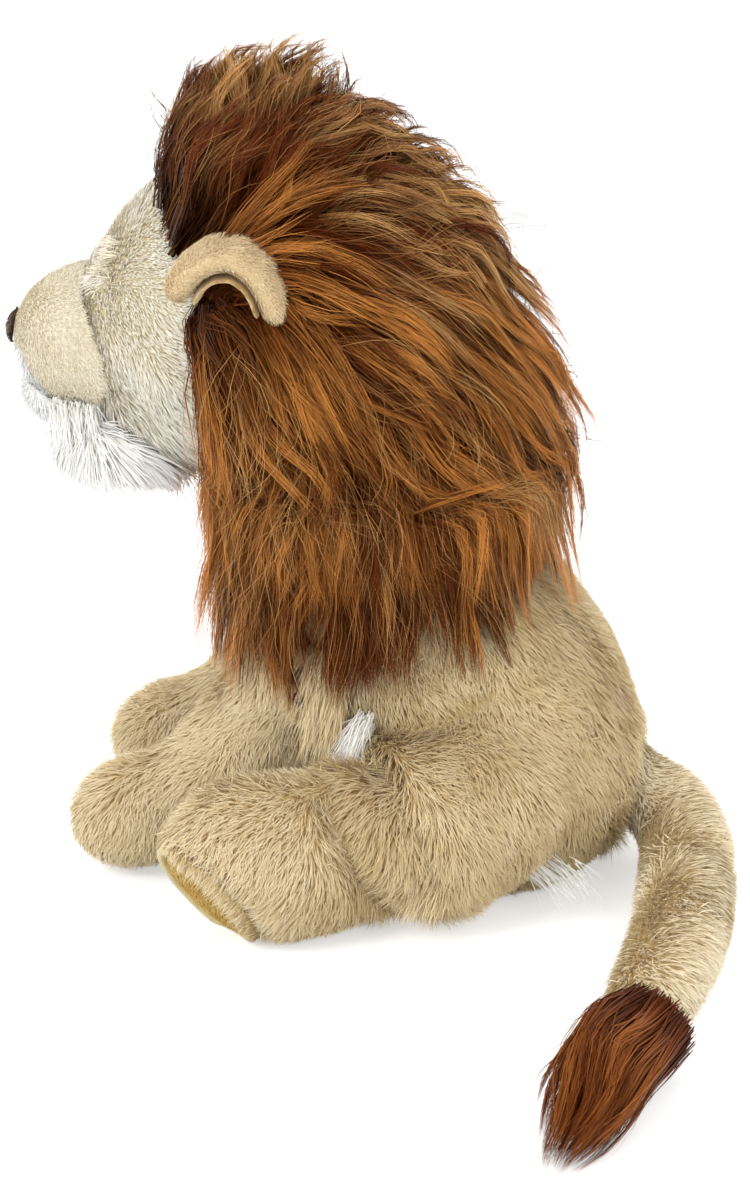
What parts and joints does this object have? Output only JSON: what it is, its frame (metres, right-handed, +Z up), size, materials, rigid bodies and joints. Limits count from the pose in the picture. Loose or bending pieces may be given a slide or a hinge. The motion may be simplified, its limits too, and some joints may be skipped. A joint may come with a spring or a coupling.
{
  "type": "plush lion",
  "caption": "Sitting plush lion with a long brown mane, tan and cream fur, padded ears and a curled tail with a brown tuft; head, ears, legs and tail bend at their seams.",
  "frame": {"origin": "centre of the flat under the seat", "axes": "+Z up, -Y the way the lion faces, +X its left side"},
  "size_m": [0.3631, 0.2848, 0.308],
  "materials": {
    "tan_plush": "short tan plush pile",
    "cream_plush": "short cream plush pile",
    "velvet": "very short cream velvet",
    "white_plush": "white plush and long white fur",
    "mane_fur": "long chestnut and red-brown fur with ochre tips",
    "nose_plush": "dark brown velvet",
    "sole_plush": "golden brown velvet",
    "stuffing": "white polyester filling",
    "pellet_cloth": "plain woven bag of plastic pellets",
    "eye_plastic": "glossy dark brown",
    "washer_plastic": "natural plastic"
  },
  "bodies": {
    "torso": {"torso_skin": "tan_plush", "belly_panel": "white_plush", "pellet_bag": "pellet_cloth", "torso_stuffing": "stuffing", "mane_cape": "mane_fur"},
    "neck": {"neck_stuffing": "stuffing"},
    "head": {"head_skin": "cream_plush", "head_stuffing": "stuffing", "muzzle": "velvet", "chin": "white_plush", "nose": "nose_plush", "beard": "white_plush", "left_eye": "eye_plastic", "left_eye_washer": "washer_plastic", "right_eye": "eye_plastic", "right_eye_washer": "washer_plastic", "mane_hood": "mane_fur", "mane_crest": "mane_fur"},
    "left_ear": {"left_ear": "velvet", "left_ear_lining": "tan_plush"},
    "right_ear": {"right_ear": "velvet", "right_ear_lining": "tan_plush"},
    "left_front_leg": {"left_front_leg": "tan_plush", "left_front_leg_stuffing": "stuffing"},
    "right_front_leg": {"right_front_leg": "tan_plush", "right_front_leg_stuffing": "stuffing"},
    "left_hind_leg": {"left_hind_leg": "tan_plush", "left_hind_leg_stuffing": "stuffing", "left_sole_pad": "sole_plush"},
    "right_hind_leg": {"right_hind_leg": "tan_plush", "right_hind_leg_stuffing": "stuffing", "right_sole_pad": "sole_plush"},
    "tail": {"tail": "tan_plush", "tail_stuffing": "stuffing", "tail_tuft": "mane_fur"}
  },
  "joints": [
    {"name": "head_turn", "type": "hinge", "parent": "torso", "child": "neck", "pos_m": [0, -0.072, 0.206], "axis": [0, 0, 1], "range_deg": [-30, 30], "stiffness_Nm_per_rad": 1},
    {"name": "head_nod", "type": "hinge", "parent": "neck", "child": "head", "pos_m": [0, -0.072, 0.206], "axis": [1, 0, 0], "range_deg": [-12, 12], "stiffness_Nm_per_rad": 1.5},
    {"name": "left_ear_fold", "type": "hinge", "parent": "head", "child": "left_ear", "pos_m": [0.05423, -0.082, 0.236], "axis": [0, 1, 0], "range_deg": [-12, 12], "stiffness_Nm_per_rad": 0.05},
    {"name": "right_ear_fold", "type": "hinge", "parent": "head", "child": "right_ear", "pos_m": [-0.05423, -0.082, 0.236], "axis": [0, 1, 0], "range_deg": [-12, 12], "stiffness_Nm_per_rad": 0.05},
    {"name": "left_front_leg_swing", "type": "hinge", "parent": "torso", "child": "left_front_leg", "pos_m": [0.037, -0.066, 0.088], "axis": [1, 0, 0], "range_deg": [-30, 8], "stiffness_Nm_per_rad": 0.4},
    {"name": "right_front_leg_swing", "type": "hinge", "parent": "torso", "child": "right_front_leg", "pos_m": [-0.037, -0.066, 0.088], "axis": [1, 0, 0], "range_deg": [-30, 8], "stiffness_Nm_per_rad": 0.4},
    {"name": "left_hind_leg_swing", "type": "hinge", "parent": "torso", "child": "left_hind_leg", "pos_m": [0.066, -0.018, 0.038], "axis": [1, 0, 0], "range_deg": [-15, 12], "stiffness_Nm_per_rad": 0.6},
    {"name": "right_hind_leg_swing", "type": "hinge", "parent": "torso", "child": "right_hind_leg", "pos_m": [-0.066, -0.018, 0.038], "axis": [1, 0, 0], "range_deg": [-15, 12], "stiffness_Nm_per_rad": 0.6},
    {"name": "tail_swing", "type": "hinge", "parent": "torso", "child": "tail", "pos_m": [0, 0.054, 0.034], "axis": [0, 0, 1], "range_deg": [-12, 60], "stiffness_Nm_per_rad": 0.3}
  ]
}
